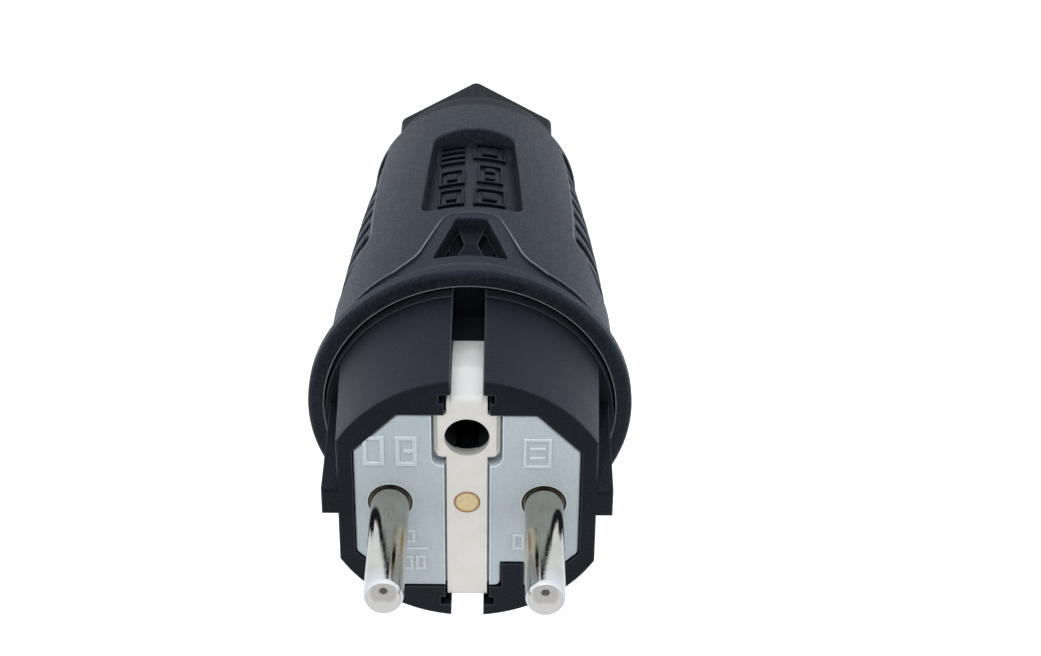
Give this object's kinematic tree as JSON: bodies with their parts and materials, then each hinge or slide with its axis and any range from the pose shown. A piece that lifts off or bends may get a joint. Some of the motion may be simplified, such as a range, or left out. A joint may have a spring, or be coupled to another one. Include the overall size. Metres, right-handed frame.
{
  "type": "earthed mains plug",
  "caption": "Rewirable industrial mains plug: round pins, side earth clips and earth socket on a grey face, black ribbed barrel, hexagonal gland nut at the cable end.",
  "frame": {"origin": "centre of the gland nut's rear face, which the plug stands on", "axes": "+Z along the pins, away from the cable; -Y towards the side with the earth hole, the latch window and the label recess; +X towards the left pin, seen from the pins with the earth hole up"},
  "size_m": [0.0424, 0.0424, 0.1042],
  "materials": {
    "housing_plastic": "fine spark-eroded matt black",
    "nut_plastic": "matt black",
    "carrier_plastic": "satin black",
    "plate_plastic": "satin light grey",
    "cage_plastic": "satin grey",
    "seal_rubber": "matt black rubber",
    "nickel": "bright nickel plate",
    "brass": "turned brass",
    "zinc": "zinc-plated steel"
  },
  "bodies": {
    "root": {"housing": "housing_plastic", "gland_nut": "nut_plastic", "contact_carrier": "carrier_plastic", "face_plate": "plate_plastic", "carrier_cover": "plate_plastic", "clamp_cage": "cage_plastic", "cable_seal": "seal_rubber", "front_gasket": "seal_rubber", "pin_left": "nickel", "pin_right": "nickel", "earth_strip": "nickel", "earth_socket": "nickel", "earth_post": "brass", "terminal_screw_left": "zinc", "terminal_screw_right": "zinc", "terminal_screw_earth": "zinc", "pressure_plate_left": "zinc", "pressure_plate_right": "zinc", "pressure_plate_earth": "zinc", "cover_screw_left": "zinc", "cover_screw_right": "zinc"}
  },
  "joints": []
}
